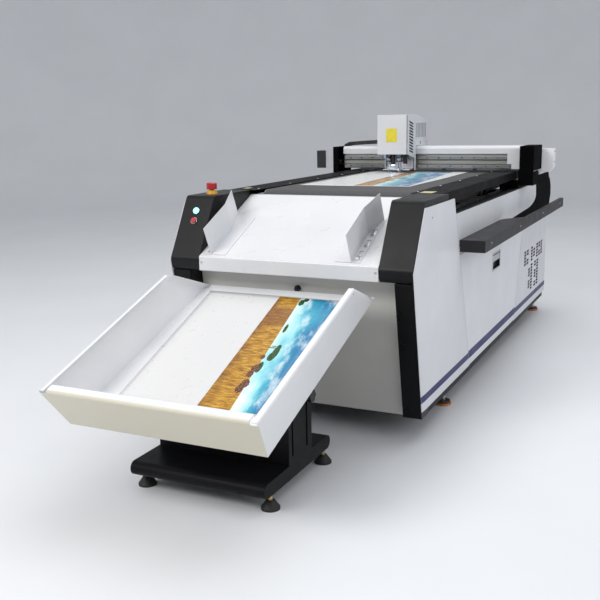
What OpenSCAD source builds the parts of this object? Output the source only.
// Flatbed sheet cutter with felt conveyor bed, travelling gantry, delivery chute and separate catch tray.
// Frame: origin on the floor under the middle of the whole set (machine and tray stand), +X to the right
// seen from the tray end, +Y from the tray end towards the feed end, +Z up. Millimetres.

/* [Machine body] */
// Overall width across the white side covers
body_w = 950; // [930:5:980]
// Distance from the middle to the knee of the front housings
knee_y = 1204; // [1190:2:1220]
// Height of the knee of the front housings
knee_z = 628; // [620:1:636]
// Distance from the middle to the rear end of the side covers
rear_y = 1210; // [1205:5:1240]
// Height of the lower edge of the side covers
skirt_z = 116; // [112:1:120]
// Height of the top face of the black side rails
rail_top_z = 848; // [846:1:852]
// Thickness of the folded cover sheets
sheet = 2; // [1.5:0.1:2.5]

/* [Bed] */
// Height of the felt belt's upper face
belt_top_z = 844; // [842:1:845]
// Width of the felt belt
belt_w = 632; // [600:4:636]
// Thickness of the felt belt
belt_t = 4; // [3:0.5:5]
// Radius of the conveyor rollers
roller_r = 42; // [38:1:44]

/* [Gantry] */
// Place of the front face of the gantry's guide rails along Y, at rest
gantry_y = 443; // [300:1:450]
// Length of the beam between the legs
beam_len = 924; // [900:2:930]
// Height of the top of the white beam cover
beam_top_z = 973; // [965:1:980]
// Hole pitch of the linear guide rails
rail_pitch = 60; // [50:5:80]

/* [Cutting head] */
// Width of the head cover
head_w = 160; // [140:2:180]
// Place of the head's middle along X, at rest
head_x = -138; // [-200:1:0]
// Height of the top of the head cover
head_top_z = 1133; // [1100:1:1150]

/* [Delivery chute] */
// Inside width between the front housings
chute_w = 698; // [680:2:698]
// Rise of the chute in degrees
chute_slope = 24.9; // [22:0.1:26]
// Height of the side guides above the chute
guide_h = 110; // [80:5:120]

/* [Catch tray and stand] */
// Tilt of the tray in degrees
tray_tilt = 19; // [15:0.5:22]
// Length of the tray floor along its slope
tray_len = 836; // [780:1:840]
// Width of the tray floor
tray_w = 660; // [640:2:670]
// Height of the tray walls above the floor
tray_h = 153; // [120:1:160]
// Width of the stand's foot and column
stand_w = 470; // [440:2:500]

/* [Hidden] */
$fn = 64;
hw = body_w / 2;
// From the middle of the whole set to the middle of the machine, which all places along Y count from
machine_y = 383;
rest_gap = 0.3;

// Body lines, all in the YZ plane
housing_x0 = 350;
housing_x1 = hw - 5;
housing_bend = 20;
housing_top_y = 1074;
housing_rear_y = 800;
housing_foot_z = 584;
post_x0 = 401;
leg_y = 1092;
leg_z = 87;
front_rise = atan2(rail_top_z - knee_z, knee_y - housing_top_y);
strip_z = 766;
split_z = 604;
shelf_z = 662;
shelf_drop = 46;
shelf_x = 575;
shelf_y0 = -662;
shelf_y1 = 1130;
shelf_wide_y1 = 60;

// Inner frame
rail_x0 = 406;
rail_x1 = 466;
upright_x1 = 446;
base_z0 = 85;
base_z1 = 125;
top_z0 = 660;
top_z1 = 700;
way_x0 = 340;
way_z1 = 748;
frame_y0 = -1020;
frame_y1 = 1196;
frame_stations = [frame_y0, -675, 300, frame_y1 - 40];
tube_wall = 3;
ledge_z = 771;

// Conveyor
belt_half = belt_w / 2;
roller_z = belt_top_z - belt_t - roller_r;
roller_y0 = -700;
roller_y1 = 1120;
shaft_r = 10;
shaft_play = 0.05;
side_plate_x0 = 318;
side_plate_x1 = 324;

// Gantry
rail_t = 11;
beam_y0 = gantry_y + rail_t;
beam_y1 = beam_y0 + 86;
beam_z0 = 861;
beam_z1 = 935;
beam_half = beam_len / 2;
leg_t = 12;
leg_y0 = gantry_y + 1;
leg_y1 = gantry_y + 102;
gantry_mid_y = gantry_y + 52;
cover_y0 = gantry_y - 43;
cover_y1 = gantry_y + 167;
saddle_y1 = gantry_y + 82;
guide_x = 402;
guide_z1 = 764;
rack_x0 = 368;
rack_x1 = 380;
rack_z1 = 760;
pinion_r = 18;
pinion_shaft_r = 4;
pinion_z = rack_z1 + pinion_r + rest_gap;
belt_mid_z = 893.5;
pulley_x = 488.5;
pulley_r = 10.2;
x_rail_z = [865, 907];

// Head
head_x0 = head_x - head_w / 2;
head_x1 = head_x + head_w / 2;
head_y0 = gantry_y - 143;
foot_z = 853;

// Chute and tray frames
chute_y0 = -1200;
chute_z0 = 640;
chute_run = 463;
lip_z = 584;
tray_y0 = -1971;
tray_z0 = 258;
tray_half = tray_w / 2;
tray_flare = 25;
tray_front_lean = 48;
tray_front_rim = 30;
tray_side_rim = 18;
rim_end = 634;
pivot_y = -1580;
pivot_z = 371;
pin_r = 6;
column_y0 = -1661;
column_y1 = -1498;
column_z0 = 289;
column_z1 = 345;
slab_y0 = -1824;
slab_y1 = -1356;
slab_z0 = 50;
slab_z1 = 95;
slab_r = (slab_z1 - slab_z0) / 2;
slot_y = [-1635, -1534];
slot_z0 = 122;
slot_z1 = [282, 314];

// Slanted seams between the side covers: place along Y at a height
function seam_front(z) = -470 - 0.3727 * (z - skirt_z);
function seam_rear(z) = 378 + 0.34 * (z - skirt_z);

// ---------- helpers ----------

// Box from its lowest to its highest corner
module block(a, b) translate(a) cube([b[0] - a[0], b[1] - a[1], b[2] - a[2]]);

// Outline in the YZ plane, extruded along X from x0 to x1
module side_plate(points, x0, x1)
    translate([x0, 0, 0]) rotate([90, 0, 90]) linear_extrude(x1 - x0) polygon(points);

// Round bar along X
module bar_x(x0, x1, y, z, r) translate([x0, y, z]) rotate([0, 90, 0]) cylinder(h = x1 - x0, r = r);

// Round bar along Y
module bar_y(y0, y1, x, z, r) translate([x, y0, z]) rotate([-90, 0, 0]) cylinder(h = y1 - y0, r = r);

// Machine coordinates set into the row's frame
module placed() translate([0, machine_y, 0]) children();

// Both sides of the machine
module both_sides() for (s = [0, 1]) mirror([s, 0, 0]) children();

// Square tube along X, Y or Z with its wall
module tube_along(a, b, axis) {
    lo = [for (i = [0:2]) i == axis ? a[i] - 1 : a[i] + tube_wall];
    hi = [for (i = [0:2]) i == axis ? b[i] + 1 : b[i] - tube_wall];
    difference() {
        block(a, b);
        block(lo, hi);
    }
}

// Thin shell of a closed outline, rounded by r
module shell_outline(points, r, t) difference() {
    offset(r) offset(-r) polygon(points);
    offset(-t) offset(r) offset(-r) polygon(points);
}

// Frame on the slope of the front housing: Y up the slope, Z out of it
module on_housing(along = 0) translate([0, -knee_y, knee_z]) rotate([front_rise, 0, 0])
    translate([0, along, 0]) children();

// Frame on the chute: Y up the slope, Z out of it
module on_chute() translate([0, chute_y0, chute_z0]) rotate([chute_slope, 0, 0]) children();

// Frame on the tray floor: Y up the slope, Z out of it
module on_tray() translate([0, tray_y0, tray_z0]) rotate([tray_tilt, 0, 0]) children();

// ---------- machine, fixed ----------

module base_frame() color("#202224") placed() {
    both_sides() {
        tube_along([rail_x0, frame_y0, base_z0], [rail_x1, frame_y1, base_z1], 1);
        tube_along([rail_x0, frame_y0, top_z0], [upright_x1, frame_y1, top_z1], 1);
        tube_along([way_x0, -700, top_z1], [upright_x1, 1180, way_z1], 1);
        for (y = frame_stations) tube_along([rail_x0, y, base_z1], [upright_x1, y + 40, top_z0], 2);
        block([upright_x1 - 6, -700, way_z1], [upright_x1, 1180, ledge_z]);
        block([upright_x1, -700, ledge_z - 5], [hw - 3, 830, ledge_z]);
        for (y = [-600, 200, 1000])
            block([350, y, way_z1], [356, y + 40, rail_top_z - sheet]);
    }
    for (y = frame_stations) {
        tube_along([-rail_x0, y, base_z0], [rail_x0, y + 40, base_z1], 0);
        tube_along([-rail_x0, y, top_z0], [rail_x0, y + 40, top_z1], 0);
    }
    block([-rail_x0 - 6, frame_y0 + 4, base_z1 - 1], [rail_x0 + 6, frame_y1 - 4, base_z1 + sheet]);
}

module machine_feet() color("#c87f3c") placed()
    for (x = [-420, 420], y = [-655, 1170]) translate([x, y, 0]) {
        cylinder(h = 9, r = 31);
        translate([0, 0, 9]) cylinder(h = 9, r = 27);
        translate([0, 0, 18]) cylinder(h = base_z0 - 18, r = 8);
        translate([0, 0, 60]) cylinder(h = 12, r = 14, $fn = 6);
    }

housing_run_on = 2 * housing_bend;
housing_outline = [[-knee_y + 12, housing_foot_z], [-knee_y, knee_z], [-housing_top_y, rail_top_z],
    [-housing_rear_y + housing_run_on, rail_top_z], [-housing_rear_y + housing_run_on, housing_foot_z]];

// Hollow folded housing at one side of the chute, open towards the rear
module front_housing() difference() {
    translate([housing_x0, 0, 0]) rotate([90, 0, 90]) linear_extrude(housing_x1 - housing_x0)
        offset(housing_bend) offset(-housing_bend) polygon(housing_outline);
    translate([housing_x0 + 3, 0, 0]) rotate([90, 0, 90]) linear_extrude(housing_x1 - housing_x0 - 6)
        offset(-3) offset(housing_bend) offset(-housing_bend) polygon(housing_outline);
    block([housing_x0 - 1, -housing_rear_y, housing_foot_z - 1],
        [housing_x1 + 1, -housing_rear_y + housing_run_on + 1, rail_top_z + 1]);
    block([rail_x0 - 1, frame_y0 - 1, housing_foot_z - 1],
        [upright_x1 + 1, frame_y0 + 41, housing_foot_z + 4]);
    block([housing_x0 - 1, frame_y0 - 1, top_z0 - 1], [housing_x0 + 4, frame_y0 + 41, top_z1 + 1]);
}

control_x = -410;
start_at = 192;
stop_at = 152;
button_hole_r = 11.5;
estop_y = -992;

module front_cheek_left() color("#26282a") placed() difference() {
    mirror([1, 0, 0]) front_housing();
    for (a = [start_at, stop_at]) on_housing(a) translate([control_x, 0, -20])
        cylinder(h = 40, r = button_hole_r);
    translate([control_x, estop_y, rail_top_z - 20]) cylinder(h = 40, r = button_hole_r);
}

module front_cheek_right() color("#26282a") placed() front_housing();

module front_posts() color("#191a1b") placed() both_sides() difference() {
    side_plate([[-knee_y + 16, housing_foot_z - 1], [-leg_y, leg_z], [frame_y0 - 1, leg_z],
        [frame_y0 - 1, housing_foot_z - 1]], post_x0, housing_x1);
    side_plate([[-knee_y + 19, housing_foot_z - 4], [-leg_y + 3, leg_z + 3], [frame_y0, leg_z + 3],
        [frame_y0, housing_foot_z - 4]], post_x0 + 3, housing_x1 - 3);
}

chute_outline = [[chute_y0, lip_z], [chute_y0, chute_z0],
    [chute_y0 + chute_run * cos(chute_slope), chute_z0 + chute_run * sin(chute_slope)],
    [chute_y0 + chute_run * cos(chute_slope), lip_z]];

module delivery_chute() color("#f2f2f0") placed() translate([-chute_w / 2, 0, 0])
    rotate([90, 0, 90]) linear_extrude(chute_w) difference() {
        shell_outline(chute_outline, 8, sheet);
        translate([chute_y0 + sheet, lip_z - 20]) square([600, 50]);
        translate([chute_y0 + chute_run * cos(chute_slope) - 10, lip_z - 20]) square([20, 228]);
    }

panel_outer = [[-1065, skirt_z], [-1169, 612], [-1051, 826], [-735, 826], [seam_front(skirt_z), skirt_z]];
panel_inner = [[-1101, skirt_z], [-knee_y, 620], [-1088, 826]];

// One flat strip that joins two edges of the folded front corner
module corner_strip(a, b, c, d) hull() {
    side_plate([a, b, b + [1.5, 0], a + [1.5, 0]], hw - sheet, hw);
    side_plate([c, d, d + [1.5, 0], c + [1.5, 0]], housing_x1 + 1, housing_x1 + 3);
}

module side_front_panels() color("#e9e9ea") placed() both_sides() {
    difference() {
        side_plate(panel_outer, hw - sheet, hw);
        translate([hw - 4, -1012, 786]) rotate([0, 90, 0]) cylinder(h = 10, r = 4);
    }
    corner_strip(panel_outer[0], panel_outer[1], panel_inner[0], panel_inner[1]);
    corner_strip(panel_outer[1], panel_outer[2], panel_inner[1], panel_inner[2]);
}

// Blocks of vents at the rear: places along Y of the columns in the lower and the upper field
vent_low_y = [717, 781, 880, 944];
vent_high_y = [601, 665, 778, 842, 925, 988, 1050];
vent_low_z = 197;
vent_high_z = 352;
vent_low_rows = 9;
vent_high_rows = 5;
vent_pitch_z = 16;

// True where the block pattern is open
function vent_open(c, r) = (c * 5 + r * 3 + (c * r) % 4) % 4 != 0;

module vent(y, z) translate([hw - 5, y, z]) cube([10, 50, 12]);

module side_rear_panels() color("#e9e9ea") placed() both_sides() difference() {
    side_plate([[seam_rear(skirt_z) + 3, skirt_z], [seam_rear(split_z) + 3, split_z],
        [rear_y, split_z], [rear_y, skirt_z]], hw - sheet, hw);
    for (c = [0:len(vent_low_y) - 1], r = [0:vent_low_rows - 1])
        if (vent_open(c, r)) vent(vent_low_y[c], vent_low_z + r * vent_pitch_z);
    for (c = [0:len(vent_high_y) - 1], r = [0:vent_high_rows - 1])
        if (vent_open(c + 1, r)) vent(vent_high_y[c], vent_high_z + r * vent_pitch_z);
}

sweep_steps = 8;
// Rear end of the upper cover: a quarter-round sweep up to the tail
upper_sweep = [for (i = [0:sweep_steps]) let (a = 90 * i / sweep_steps)
    [600 + 256 * sin(a), 702 - 53 * cos(a)]];

module side_upper_covers() color("#e9e9ea") placed() both_sides()
    side_plate(concat([[seam_front(split_z + 3) + 3, split_z + 3], [150, split_z + 3], [230, 640]],
        upper_sweep, [[842, strip_z], [seam_front(strip_z) + 3, strip_z]]), hw - sheet, hw);

// Hollow black end cap of one side, flush with the white covers, its upper edge bevelled inwards
fairing_lower = [[172, 612], [235, 636]];
fairing_upper = [[846, 753], [1271, 753], [1301, 711], [1303, 664], [1283, 635], [1272, 612]];
module rear_fairings() color("#141516") placed() both_sides() {
    difference() {
        side_plate(concat(fairing_lower, [for (p = upper_sweep) p + [3, -4]], fairing_upper), hw - 3, hw);
        side_plate([[842, 600], [842, 612], [rear_y, 612], [rear_y, 600]], hw - 4, hw - 2);
    }
    side_plate([[846, 753], [1271, 753], [1236, 797], [860, 797]], hw - 16, hw - 4);
    side_plate([[846, 753], [1271, 753], [1262, 764], [850, 764]], hw - 8, hw - 1);
    side_plate([[rear_y + 2, 612], [1272, 612], [1283, 635], [1303, 664], [1301, 711], [1271, 753],
        [rear_y + 2, 753]], 420, hw - 3);
}

module rear_cover() color("#e4e4e5") placed() difference() {
    block([-hw + 3, rear_y - 4, skirt_z], [hw - 3, rear_y - 2, 700]);
    block([-150, rear_y - 10, 180], [150, rear_y + 10, 420]);
}

module rail_covers() color("#2b2d2f") placed() both_sides() {
    block([326, -housing_rear_y + 1, rail_top_z - sheet], [445, 1190, rail_top_z]);
    block([443, -housing_rear_y + 1, 811], [445, 1190, rail_top_z - sheet]);
    block([326, -640, belt_top_z + rest_gap], [328, 1170, rail_top_z - sheet]);
}

module y_guide_rails() color("#b9bcc0") placed() both_sides() difference() {
    block([guide_x - 10, -690, way_z1], [guide_x + 10, 860, guide_z1]);
    for (s = [-1, 1])
        block([guide_x + s * 10 - 2, -691, way_z1 + 6], [guide_x + s * 10 + 2, 861, way_z1 + 11]);
}

module y_racks() color("#8d9094") placed() both_sides()
    block([rack_x0, -690, way_z1], [rack_x1, 860, rack_z1]);

module vacuum_table() color("#a9acb0") placed() {
    difference() {
        block([-belt_half, -648, 790], [belt_half, 1068, belt_top_z - belt_t]);
        block([-belt_half + 6, -642, 796], [belt_half - 6, 1062, belt_top_z - belt_t - 6]);
        for (x = [-240, -120, 0, 120, 240], y = [-560:200:840])
            block([x - 3, y, 825], [x + 3, y + 140, 850]);
        translate([0, 250, 780]) cylinder(h = 25, r = 45);
    }
    both_sides() {
        difference() {
            union() {
                block([side_plate_x0, roller_y0, roller_z - roller_r - 2],
                    [side_plate_x1, roller_y1, roller_z + roller_r + 3]);
                for (y = [roller_y0, roller_y1])
                    bar_x(side_plate_x0, side_plate_x1, y, roller_z, roller_r + 3);
            }
            for (y = [roller_y0, roller_y1])
                bar_x(side_plate_x0 - 1, side_plate_x1 + 1, y, roller_z, shaft_r + 2);
        }
        block([belt_half, -600, 800], [side_plate_x0, 1020, 830]);
        for (y = [-560, 240, 1040]) {
            block([side_plate_x1, y, way_z1], [side_plate_x1 + 5, y + 30, 800]);
            block([side_plate_x1 + 5, y, way_z1], [way_x0 + 10, y + 30, way_z1 + 4]);
        }
    }
}

module belt_loop(r) {
    translate([roller_y0, roller_z]) circle(r);
    translate([roller_y1, roller_z]) circle(r);
    translate([roller_y0, roller_z - r]) square([roller_y1 - roller_y0, 2 * r]);
}

module conveyor_belt() color("#8b8a90") placed() translate([-belt_half, 0, 0])
    rotate([90, 0, 90]) linear_extrude(belt_w) difference() {
        belt_loop(roller_r + belt_t);
        belt_loop(roller_r);
    }

module conveyor_roller(y) {
    bar_x(-belt_half + 2, belt_half - 2, y, roller_z, roller_r - shaft_play);
    bar_x(-344, 344, y, roller_z, shaft_r - shaft_play);
}

module front_roller() color("#9fa2a6") placed() conveyor_roller(roller_y0);
module drive_roller() color("#9fa2a6") placed() conveyor_roller(roller_y1);

module roller_bearings() color("#5f6266") placed() both_sides()
    for (y = [roller_y0, roller_y1]) difference() {
    block([side_plate_x1, y - 24, roller_z - 24], [side_plate_x1 + 15, y + 24, roller_z + 24]);
    bar_x(side_plate_x1 - 1, side_plate_x1 + 16, y, roller_z, shaft_r);
}

module conveyor_motor() color("#3a3d40") placed() {
    bar_x(346, 372, roller_y1, roller_z, 30);
    bar_x(372, 436, roller_y1, roller_z, 26);
}

shelf_taper = [[shelf_y0, hw + 1], [shelf_y0, shelf_x - sheet], [shelf_y1, shelf_x - sheet],
    [shelf_y1, shelf_x - 20], [shelf_wide_y1 + 90, shelf_x - 20], [shelf_wide_y1, hw + 12],
    [shelf_wide_y1 - 40, hw + 1]];

module side_shelf() color("#57575a") placed() {
    translate([0, 0, shelf_z - sheet]) linear_extrude(sheet) polygon([for (p = shelf_taper) [p[1], p[0]]]);
    block([shelf_x - sheet, shelf_y0, shelf_z - shelf_drop], [shelf_x, shelf_y1, shelf_z]);
    block([hw + 1, shelf_y0, shelf_z - 26], [hw + 1 + sheet, shelf_wide_y1 - 40, shelf_z - sheet]);
    for (y = [shelf_y0, -310, shelf_wide_y1 - 44]) block([hw + 1 + sheet, y, shelf_z - shelf_drop],
        [shelf_x - sheet, y + 4, shelf_z - sheet]);
}

module vacuum_blower() color("#6d7378") placed() {
    bar_y(-420, -320, 0, 290, 140);
    bar_y(-320, -140, 0, 290, 85);
    block([-110, -440, base_z1 + sheet], [110, -160, 152]);
    translate([110, -370, 290]) cylinder(h = 250, r = 28);
}

module control_cabinet() color("#7a7e83") placed() {
    difference() {
        block([-240, 640, base_z1 + sheet], [240, frame_y1 - 44, 560]);
        block([-236, 644, base_z1 + sheet + 4], [236, frame_y1 - 48, 556]);
    }
    difference() {
        block([-140, frame_y1 - 44, 190], [140, rear_y + 2, 410]);
        block([-120, rear_y - 14, 210], [-40, rear_y + 3, 260]);
        bar_y(rear_y - 30, rear_y + 3, 60, 300, 12);
    }
    block([-100, rear_y - 14, 224], [-60, rear_y - 2, 246]);
}

module button_bezels() color("#c9ccd0") placed() {
    for (a = [start_at, stop_at]) on_housing(a) translate([control_x, 0, 0]) difference() {
        cylinder(h = 4, r = 13.2);
        translate([0, 0, -1]) cylinder(h = 6, r = button_hole_r);
    }
    translate([control_x, estop_y, rail_top_z]) difference() {
        cylinder(h = 12, r1 = 22, r2 = 19);
        translate([0, 0, -1]) cylinder(h = 14, r = button_hole_r);
    }
}

// ---------- machine, moving ----------

panel_lean = 6.6;
panel_y = -1050;
panel_z = 80;
panel_h = 503;
lock_x = 5;
lock_up = 450;

module on_access_panel() translate([0, panel_y, panel_z]) rotate([panel_lean, 0, 0]) children();

module front_access_panel() color("#c9c8c0") placed() on_access_panel() difference() {
    union() {
        block([-398, 0, 0], [398, sheet, panel_h]);
        for (x = [-398, 396]) block([x, sheet, 6], [x + 2, 12, panel_h - 6]);
        block([-380, sheet, panel_h - 18], [380, 12, panel_h - 16]);
    }
    translate([lock_x, -1, lock_up]) rotate([-90, 0, 0]) cylinder(h = 5, r = 8);
}

module front_panel_lock() color("#111213") placed() on_access_panel() translate([lock_x, 0, lock_up]) {
    translate([0, -rest_gap, 0]) rotate([90, 0, 0]) cylinder(h = 8, r = 11);
    translate([0, -8, 0]) rotate([90, 0, 0]) cylinder(h = 9, r = 9);
    block([-3.5, -22, -13], [3.5, -8, 13]);
    rotate([-90, 0, 0]) cylinder(h = 10, r = 7.9);
}

pan_y0 = -100;
pan_y1 = 34;
pan_z0 = 452;
pan_z1 = 519;
door_z0 = skirt_z + 3;
door_pin_x = hw - 4.5;
door_pin_z = door_z0 + 3;
latch_x = hw - 7;
latch_z = pan_z1 - 7;
latch_r = 4;

module service_door() {
    difference() {
        side_plate([[seam_front(door_z0) + 3, door_z0], [seam_front(split_z) + 3, split_z],
            [seam_rear(split_z) - 2, split_z], [seam_rear(door_z0) - 2, door_z0]], hw - sheet, hw);
        block([hw - 5, pan_y0, pan_z0], [hw + 5, pan_y1, pan_z1]);
    }
    difference() {
        block([hw - 18, pan_y0 - 3, pan_z0 - 3], [hw - sheet, pan_y1 + 3, pan_z1 + 3]);
        block([hw - 15, pan_y0, pan_z0], [hw - 1, pan_y1, pan_z1]);
        bar_y(pan_y0 - 4, pan_y1 + 4, latch_x, latch_z, latch_r + shaft_play);
    }
    for (y = [-470, 340]) block([hw - 8, y, 140], [hw - sheet, y + 20, 590]);
    for (y = [-440, 290]) bar_y(y, y + 50, door_pin_x, door_pin_z, 3);
}

module service_door_left() color("#e9e9ea") placed() mirror([1, 0, 0]) service_door();
module service_door_right() color("#e9e9ea") placed() service_door();

module door_latch() {
    block([hw - 2, pan_y0 + 2, 486], [hw, pan_y1 - 2, latch_z + 2]);
    block([latch_x, pan_y0 + 2, latch_z - 2], [hw - 1, pan_y1 - 2, latch_z + 2]);
    block([hw - 9, pan_y0 + 2, 486], [hw - 2, pan_y1 - 2, 488]);
    bar_y(pan_y0 - 2.5, pan_y1 + 2.5, latch_x, latch_z, latch_r);
}

module door_latch_left() color("#9a9da1") placed() mirror([1, 0, 0]) door_latch();
module door_latch_right() color("#9a9da1") placed() door_latch();

module start_button() color("#58d6b4") placed() on_housing(start_at) translate([control_x, 0, -14]) {
    cylinder(h = 22, r = button_hole_r - 0.6);
}

module stop_button() color("#b3121c") placed() on_housing(stop_at) translate([control_x, 0, -14]) {
    cylinder(h = 22, r = button_hole_r - 0.6);
}

module estop_button() color("#b3121c") placed() translate([control_x, estop_y, rail_top_z]) {
    translate([0, 0, -14]) cylinder(h = 32, r = 9);
    translate([0, 0, 18]) cylinder(h = 22, r = 20);
    translate([0, 0, 40]) cylinder(h = 3, r1 = 20, r2 = 17);
}

guide_t = 1.5;
guide_from = 14;
guide_bend = 190;
guide_to = 292;
guide_flare = 14;

// Bent plate that squares the sheets on the chute; wall on X = 0, inner flange towards +X
module chute_guide() on_chute() translate([0, 0, rest_gap]) {
    difference() {
        union() {
            block([-32, guide_from, 0], [58, guide_bend, guide_t]);
            linear_extrude(guide_t) polygon([[-32, guide_bend], [58, guide_bend], [58, guide_to - 20],
                [-25, guide_to], [-32, guide_to - 10]]);
        }
        for (u = [38, 108, 178]) block([-27, u, -1], [-8, u + 45, 3]);
    }
    block([-guide_t, guide_from, guide_t], [0, guide_bend, guide_h]);
    translate([0, guide_bend, guide_t]) rotate([0, 0, guide_flare])
        block([-guide_t, 0, 0], [0, (guide_to - guide_bend) / cos(guide_flare), guide_h - guide_t]);
    translate([-18, guide_from + 14, guide_t]) cylinder(h = 9, r = 6);
}

guide_left_x = -303;
guide_right_x = 247;
module chute_guide_left() color("#eceef0") placed() translate([guide_left_x, 0, 0]) chute_guide();
module chute_guide_right() color("#eceef0") placed()
    translate([guide_right_x, 0, 0]) mirror([1, 0, 0]) chute_guide();

module mains_switch() color("#b3121c") placed() {
    bar_y(rear_y - 28, rear_y + 6, 60, 300, 11.9);
    bar_y(rear_y + 6, rear_y + 14, 60, 300, 22);
    block([56, rear_y + 14, 282], [64, rear_y + 30, 318]);
}

// ---------- gantry ----------

module gantry_beam() color("#a5a49f") placed() {
    difference() {
        block([-beam_half, beam_y0, beam_z0], [beam_half, beam_y1, beam_z1]);
        block([-beam_half - 1, beam_y0 + 6, beam_z0 + 6], [beam_half + 1, beam_y1 - 6, beam_z1 - 6]);
    }
    block([-455, beam_y1, 905], [455, beam_y1 + 62, 907]);
    block([-455, beam_y1 + 60, 907], [455, beam_y1 + 62, 930]);
}

top_y0 = gantry_y - 3;
top_y1 = beam_y1 + 16;
top_r = 14;

module beam_top_cover() color("#f4f4f3") placed() {
    translate([-beam_half, 0, 0]) rotate([90, 0, 90]) linear_extrude(beam_len + leg_t) difference() {
        union() {
            translate([top_y0, beam_z1]) square([top_y1 - top_y0, beam_top_z - beam_z1 - top_r]);
            translate([top_y0 + top_r, beam_z1]) square([top_y1 - top_y0 - 2 * top_r, beam_top_z - beam_z1]);
            for (y = [top_y0 + top_r, top_y1 - top_r]) translate([y, beam_top_z - top_r]) circle(top_r);
        }
        translate([top_y0 + 4, beam_z1 + 4]) square([top_y1 - top_y0 - 8, 20]);
    }
    translate([0, top_y0 + 3, 0]) rotate([90, 0, 0]) linear_extrude(3)
        polygon([[407, 885], [407, beam_z1 + 1], [beam_half + leg_t, beam_z1 + 1],
            [beam_half + leg_t, beam_z0], [428, beam_z0], [428, 885]]);
}

foot_y0 = gantry_mid_y - 110;
foot_y1 = gantry_mid_y + 85;

module gantry_legs() color("#1b1c1d") placed() both_sides() {
    difference() {
        union() {
            block([beam_half, leg_y0, 773], [beam_half + leg_t, leg_y1, beam_z1 - 1]);
            block([beam_half, foot_y0, 773], [beam_half + leg_t, foot_y1, 798]);
        }
        bar_x(beam_half - 1, beam_half + leg_t + 1, gantry_mid_y, pinion_z, pinion_shaft_r + shaft_play);
        block([beam_half - 1, leg_y0 - 1, 877], [beam_half + leg_t + 1, gantry_y + 12, 910]);
    }
    for (y = [foot_y0, foot_y1 - 65]) block([384, y, 786], [beam_half + 1, y + 65, 798]);
    block([384, gantry_mid_y - 20, 788], [beam_half + 1, gantry_mid_y + 20, 798]);
    for (y = [gantry_mid_y - 105, gantry_mid_y + 35]) difference() {
        block([guide_x - 18, y, 752], [guide_x + 18, y + 70, 787]);
        block([guide_x - 10.5, y - 1, 751], [guide_x + 10.5, y + 71, guide_z1 + 0.5]);
    }
    bar_x(beam_half + leg_t - 1, beam_half + leg_t + 24, gantry_mid_y, 825, 24);
}

cover_x0 = beam_half + leg_t + rest_gap;
cover_z1 = beam_top_z;
right_cover_x = 542;
left_cover_x = 505;
saddle_z = 785;
ledge_cover_z = 853;

// Hollow cover over one end of the beam, open towards it: deep upper box and shallower foot
module end_cover(x1, upper_y1, lower_y1) difference() {
    union() {
        block([cover_x0, cover_y0, ledge_cover_z], [x1, upper_y1, cover_z1]);
        block([cover_x0, cover_y0, saddle_z], [x1, lower_y1, cover_z1]);
    }
    block([cover_x0 - 1, cover_y0 + 3, ledge_cover_z + 3], [x1 - 3, upper_y1 - 3, cover_z1 - 3]);
    block([cover_x0 - 1, cover_y0 + 3, saddle_z - 1], [x1 - 3, lower_y1 - 3, cover_z1 - 3]);
}

module gantry_end_covers() color("#101112") placed() {
    end_cover(right_cover_x, cover_y1, saddle_y1);
    mirror([1, 0, 0]) end_cover(left_cover_x, cover_y1 - 35, saddle_y1);
    block([-cover_x0 - 3, top_y0, beam_z1 + rest_gap], [-beam_half - rest_gap, top_y1, cover_z1]);
}

module x_guide_rails() color("#73777a") placed() for (z = x_rail_z) difference() {
    block([-beam_half + 8, gantry_y, z], [beam_half - 8, beam_y0, z + 15]);
    for (x = [-420:rail_pitch:420]) bar_y(gantry_y - 1, gantry_y + 6, x, z + 7.5, 3.6);
}

module x_motor() color("#8f9194") placed() {
    block([-571, gantry_y + 12, 855], [-left_cover_x, gantry_y + 92, 955]);
    block([-626, gantry_y + 16, 859], [-571, gantry_y + 88, 951]);
}

end_box_x0 = 520;
end_box_x1 = 600;
module x_end_box() color("#e8e8ea") placed() translate([0, cover_y1 + 50, 0]) rotate([90, 0, 0])
    linear_extrude(50) polygon([[end_box_x0, 838], [end_box_x0, 953], [end_box_x1, 953],
        [end_box_x1, 862], [end_box_x1 - 22, 838]]);

module pulley_loop(r) {
    for (s = [-1, 1]) translate([s * pulley_x, belt_mid_z]) circle(r);
    translate([-pulley_x, belt_mid_z - r]) square([2 * pulley_x, 2 * r]);
}

module x_drive_belt() color("#1c1c1c") placed() translate([0, gantry_y + 9, 0]) rotate([90, 0, 0])
    linear_extrude(7) difference() {
        pulley_loop(pulley_r + 1.6);
        pulley_loop(pulley_r);
    }

module pulley(x) bar_y(gantry_y + 2, gantry_y + 20, x, belt_mid_z, pulley_r - shaft_play);
module x_drive_pulley() color("#b9bcc0") placed() pulley(-pulley_x);
module x_idler_pulley() color("#b9bcc0") placed() pulley(pulley_x);

module y_pinions() color("#b9bcc0") placed() both_sides() {
    bar_x(rack_x0, rack_x1, gantry_mid_y, pinion_z, pinion_r);
    bar_x(rack_x1, beam_half + leg_t - 1.5, gantry_mid_y, pinion_z, pinion_shaft_r);
}

module hold_down_bar() color("#131415") placed() {
    block([-belt_half + 4, gantry_y - 21, 847], [belt_half - 4, gantry_y - 9, 852]);
    for (x = [-240, -80, 80, 240]) {
        block([x - 8, gantry_y - 9, 849], [x + 8, beam_y0 + 20, 852]);
        block([x - 8, beam_y0 + 4, 852], [x + 8, beam_y0 + 20, beam_z0 - 0.5]);
    }
}

link_pitch = 25;
module cable_chain() color("#161616") placed() difference() {
    block([-452, beam_y1 + 20, 907], [452, beam_y1 + 56, 927]);
    for (x = [-440:link_pitch:440]) block([x, beam_y1 + 19, 924], [x + 2, beam_y1 + 57, 930]);
}

// ---------- cutting head ----------

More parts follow.
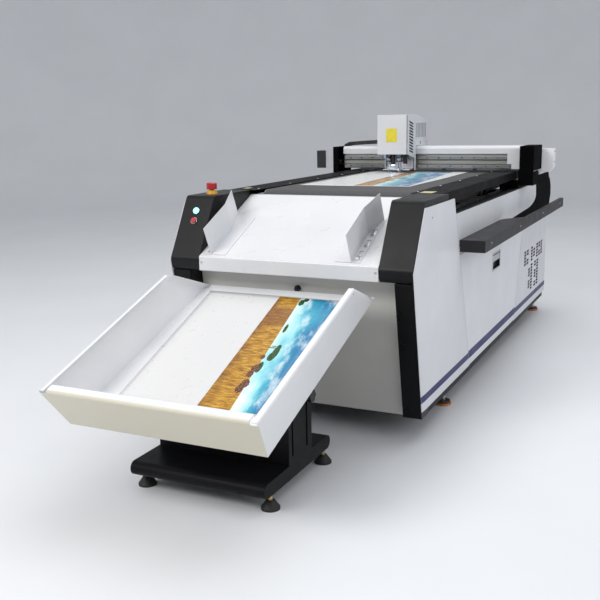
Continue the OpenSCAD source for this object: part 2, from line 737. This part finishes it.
module head_carriage() color("#8f9296") placed() {
    block([head_x0 + 8, gantry_y - 23, foot_z + 14], [head_x1 - 8, gantry_y - 15, 985]);
    block([head_x0 + 8, gantry_y - 15, 977], [head_x1 - 8, gantry_y + 150, 985]);
    for (x = [head_x0 + 12, head_x1 - 52], z = x_rail_z)
        block([x, gantry_y - 15, z - 3], [x + 40, gantry_y - 0.5, z + 18]);
    block([head_x0 + 8, tool_y + 18, foot_z + 3], [head_x1 - 8, gantry_y - 23, foot_z + 8]);
    block([head_x0 + 8, gantry_y - 27, foot_z + 3], [head_x1 - 8, gantry_y - 23, foot_z + 20]);
    for (x = [head_x0 + 20, head_x1 - 60]) block([x, gantry_y + 60, 985], [x + 40, gantry_y + 110, 1060]);
}

head_profile = [[head_y0, 938], [head_y0, head_top_z], [head_y0 + 143, head_top_z],
    [head_y0 + 327, head_top_z - 33], [head_y0 + 331, head_top_z - 40], [head_y0 + 331, 977],
    [gantry_y - 8, 977], [gantry_y - 8, foot_z + 1], [gantry_y - 30, foot_z + 1],
    [gantry_y - 30, 915], [head_y0 + 90, 920], [head_y0 + 4, 938]];
head_inner = [[head_y0 + 3, 900], [head_y0 + 3, head_top_z - 3], [head_y0 + 142, head_top_z - 3],
    [head_y0 + 325, head_top_z - 36], [head_y0 + 328, head_top_z - 42], [head_y0 + 328, 850],
    [head_y0 + 3, 850]];
slit_count = 11;
slit_pitch = 14.2;
slit_z0 = 953;
slit_slant = 12;
slit_len = 66;
slit_h = 8;

module head_shell() color("#e9eaeb") placed() difference() {
    intersection() {
        side_plate(head_profile, head_x0, head_x1);
        translate([head_x0, head_y0, 800]) linear_extrude(400) union() {
            translate([2, 0]) square([head_w - 16, 400]);
            translate([0, 14]) square([head_w, 400]);
            translate([head_w - 14, 14]) circle(14);
            translate([2, 2]) circle(2);
            translate([0, 2]) square([20, 20]);
        }
    }
    side_plate(head_inner, head_x0 + 3, head_x1 - 3);
    for (i = [0:slit_count - 1]) translate([head_x1 - 6, head_y0 + 27, slit_z0 + i * slit_pitch])
        rotate([-slit_slant, 0, 0]) cube([12, slit_len, slit_h]);
}

knife_x = head_x - 34;
crease_x = head_x + 22;
tool_y = head_y0 + 42;

module knife_module() color("#aeb1b5") placed() {
    translate([knife_x, tool_y, 898]) cylinder(h = 60, r = 14);
    translate([knife_x, tool_y, 876]) cylinder(h = 22, r = 9);
    translate([knife_x, tool_y, 868]) cylinder(h = 8, r1 = 2, r2 = 9);
    translate([knife_x, tool_y, 848]) cylinder(h = 20, r = 2);
    block([knife_x - 9, tool_y, 905], [knife_x + 9, gantry_y - 23.5, 930]);
}

wheel_r = 12;
wheel_z = 848 + wheel_r;

module crease_module() color("#c5c8cb") placed() {
    translate([crease_x, tool_y, 898]) cylinder(h = 60, r = 14);
    block([crease_x - 9, tool_y, 905], [crease_x + 9, gantry_y - 23.5, 930]);
    for (s = [-1, 1]) translate([crease_x, tool_y, 0]) difference() {
        block([s * 7 - 1.5, -7, 853], [s * 7 + 1.5, 7, 898]);
        bar_x(s * 7 - 2, s * 7 + 2, 0, wheel_z, 2.05);
    }
}

module crease_wheel() color("#d9dbdd") placed() {
    bar_x(crease_x - 3, crease_x + 3, tool_y, wheel_z, wheel_r);
    bar_x(crease_x - 8.5, crease_x + 8.5, tool_y, wheel_z, 2);
}

module camera_unit() color("#25272a") placed() {
    translate([head_x - 8, tool_y - 4, 905]) cylinder(h = 55, r = 10);
    translate([head_x - 8, tool_y - 4, 885]) cylinder(h = 20, r = 12);
    block([head_x - 13, tool_y - 4, 930], [head_x - 3, gantry_y - 23, 950]);
    translate([head_x + 54, tool_y, 890]) cylinder(h = 70, r = 11);
    block([head_x + 49, tool_y, 930], [head_x + 59, gantry_y - 23, 950]);
}

// ---------- stand and tray ----------

// Column outline with its top cut parallel to the tray
column_outline = [[column_y0, slab_z1 - 1], [column_y0, column_z0], [column_y1, column_z1],
    [column_y1, slab_z1 - 1]];

module stand_frame() color("#1a1b1c") placed() {
    difference() {
        union() {
            block([-stand_w / 2, slab_y0 + slab_r, slab_z0], [stand_w / 2, slab_y1 - slab_r, slab_z1]);
            for (y = [slab_y0 + slab_r, slab_y1 - slab_r])
                bar_x(-stand_w / 2, stand_w / 2, y, slab_z0 + slab_r, slab_r);
        }
        block([-stand_w / 2 + 4, slab_y0 + slab_r, slab_z0 + 4],
            [stand_w / 2 - 4, slab_y1 - slab_r, slab_z1 - 4]);
    }
    difference() {
        side_plate(column_outline, -stand_w / 2, stand_w / 2);
        block([-stand_w / 2 + 5, column_y0 + 5, slab_z1 - 2],
            [stand_w / 2 - 5, column_y1 - 5, column_z1 + 1]);
        for (i = [0, 1]) {
            block([-stand_w, slot_y[i] - 5.5, slot_z0], [stand_w, slot_y[i] + 5.5, slot_z1[i]]);
            for (z = [slot_z0, slot_z1[i]]) bar_x(-stand_w, stand_w, slot_y[i], z, 5.5);
        }
    }
}

module stand_feet() color("#151515") placed() for (x = [-220, 220], y = [-1760, -1382])
    translate([x, y, 0]) {
        cylinder(h = 6, r = 29);
        translate([0, 0, 6]) cylinder(h = 22, r1 = 29, r2 = 13);
        translate([0, 0, 28]) cylinder(h = slab_z0 - 28, r = 7);
    }

lift_x1 = stand_w / 2 - 5.5;
ear_x0 = 150;
ear_t = 8;
ear_r = 13;
knob_z = 283;
brace_z = 221;

module tray_lift_frame() color("#232526") placed() difference() {
    union() {
        block([-lift_x1, column_y0 + 6, brace_z], [lift_x1, column_y1 - 6, brace_z + 4]);
        both_sides() {
            side_plate([[column_y0 + 6, 190], [column_y0 + 6, column_z0 - 4], [column_y1 - 6, column_z1 - 6],
                [column_y1 - 6, 190]], lift_x1 - 5, lift_x1);
            block([ear_x0, pivot_y - ear_r, brace_z + 1], [ear_x0 + ear_t, pivot_y + ear_r, pivot_z]);
            bar_x(ear_x0, ear_x0 + ear_t, pivot_y, pivot_z, ear_r);
            bar_x(lift_x1 - 5, stand_w / 2 + 3, slot_y[0], 250, 5);
        }
    }
    bar_x(-ear_x0 - 20, ear_x0 + 20, pivot_y, pivot_z, pin_r + shaft_play);
    bar_x(-stand_w, stand_w, slot_y[1], knob_z, 5 + shaft_play);
}

module tray_clamp_knobs() color("#0d0d0e") placed() both_sides() {
    bar_x(lift_x1 - 5, stand_w / 2 + 4, slot_y[1], knob_z, 5);
    difference() {
        bar_x(stand_w / 2 + 1, stand_w / 2 + 24, slot_y[1], knob_z, 21);
        for (a = [0:60:300]) translate([0, slot_y[1], knob_z]) rotate([a, 0, 0])
            bar_x(stand_w / 2 + 8, stand_w / 2 + 30, 0, 24, 7);
    }
}

bend_r = 9;
wall_lean = atan2(tray_flare, tray_h);
front_lean = atan2(tray_front_lean, tray_h);
roll_r = 26;
roll_turn = 70;
wall_corner = [rim_end + 24, tray_h - 14];

bend_steps = 6;
notch_z = tray_h - bend_r - 4;
notch_x = notch_z * tan(wall_lean);

// Cross-section of one tray wall with its rolled rim; floor edge at the origin, lean outwards to +X
module wall_section(lean, rim) {
    c = [(tray_h - bend_r) * tan(lean) - bend_r / cos(lean), tray_h - bend_r];
    arc = [for (i = [0:bend_steps]) let (a = -lean + (90 + lean) * i / bend_steps) [cos(a), sin(a)]];
    polygon(concat([[0, 0]], [for (p = arc) c + bend_r * p],
        [[c[0] - rim + bend_r, tray_h], [c[0] - rim + bend_r, tray_h - sheet]],
        [for (i = [bend_steps:-1:0]) c + (bend_r - sheet) * arc[i]], [[-sheet / cos(lean), 0]]));
}

// Right side wall of the tray; its slanted rear edge is rolled inwards
module tray_side() {
    rise = wall_corner[1] / cos(wall_lean);
    back = tray_len - wall_corner[0];
    roll_u = roll_r * norm([rise, back]) / rise;
    intersection() {
        translate([tray_half, -tray_front_lean - 5, 0]) rotate([90, 0, 180]) mirror([1, 0, 0])
            linear_extrude(tray_len + tray_front_lean + 5) wall_section(wall_lean, tray_side_rim);
        side_plate([[1, 0], [tray_len - roll_u, 0], wall_corner - [roll_u, 0], [rim_end, tray_h + 1],
            [1 - tray_front_lean, tray_h + 1], [1 - tray_front_lean, tray_h]],
                tray_half - 40, tray_half + 60);
    }
    intersection() {
        translate([tray_half, tray_len, 0]) rotate([0, wall_lean, 0]) rotate([atan2(back, rise), 0, 0])
            translate([-roll_r - 0.1, -roll_r, -20]) linear_extrude(norm([rise, back]) + 40) polygon(concat(
                [[roll_r, -2]], [for (a = [0:14:roll_turn]) roll_r * [cos(a), sin(a)]],
                [for (a = [roll_turn:-14:0]) (roll_r - sheet + 0.2) * [cos(a), sin(a)]],
                    [[roll_r - sheet + 0.2, -2]]));
        block([tray_half - 60, rim_end - 60, 0.5], [tray_half + 60, tray_len + 40, wall_corner[1]]);
    }
}

module collecting_tray() color("#f1f1ef") placed() {
    on_tray() {
        block([-tray_half, 0, 0], [tray_half, tray_len, sheet]);
        both_sides() tray_side();
        intersection() {
            translate([-tray_half - 60, 0, 0]) rotate([90, 0, 90]) mirror([1, 0, 0])
                linear_extrude(tray_w + 120) wall_section(front_lean, tray_front_rim);
            rotate([90, 0, 0]) linear_extrude(200, center = true)
                polygon([[1 - tray_half, 0], [tray_half - 1, 0], [tray_half - 1 + notch_x, notch_z],
                    [tray_half - sheet, notch_z], [tray_half - sheet, tray_h + 1],
                    [sheet - tray_half, tray_h + 1], [sheet - tray_half, notch_z],
                    [1 - tray_half - notch_x, notch_z]]);
        }
    }
    difference() {
        both_sides() side_plate([[pivot_y - 22, pivot_z + 1], [pivot_y - 8, pivot_z - 10],
            [pivot_y + 8, pivot_z - 10], [pivot_y + 30, pivot_z + 60], [pivot_y - 30, pivot_z + 60]],
            ear_x0 + ear_t + 0.5, ear_x0 + 2 * ear_t);
        on_tray() block([-tray_half, 0, 0.5], [tray_half, tray_len, 200]);
    }
    both_sides() bar_x(ear_x0 - 0.5, ear_x0 + 2 * ear_t, pivot_y, pivot_z, pin_r);
}

base_frame();
machine_feet();
front_cheek_left();
front_cheek_right();
front_posts();
delivery_chute();
side_front_panels();
side_rear_panels();
side_upper_covers();
rear_fairings();
rear_cover();
rail_covers();
y_guide_rails();
y_racks();
vacuum_table();
conveyor_belt();
roller_bearings();
conveyor_motor();
side_shelf();
vacuum_blower();
control_cabinet();
button_bezels();
front_access_panel();
front_panel_lock();
service_door_left();
service_door_right();
door_latch_left();
door_latch_right();
front_roller();
drive_roller();
y_pinions();
gantry_beam();
beam_top_cover();
gantry_legs();
gantry_end_covers();
x_guide_rails();
x_motor();
x_end_box();
x_drive_belt();
x_drive_pulley();
x_idler_pulley();
hold_down_bar();
cable_chain();
head_carriage();
head_shell();
knife_module();
crease_module();
crease_wheel();
camera_unit();
start_button();
stop_button();
estop_button();
chute_guide_left();
chute_guide_right();
stand_frame();
stand_feet();
tray_lift_frame();
collecting_tray();
tray_clamp_knobs();
mains_switch();
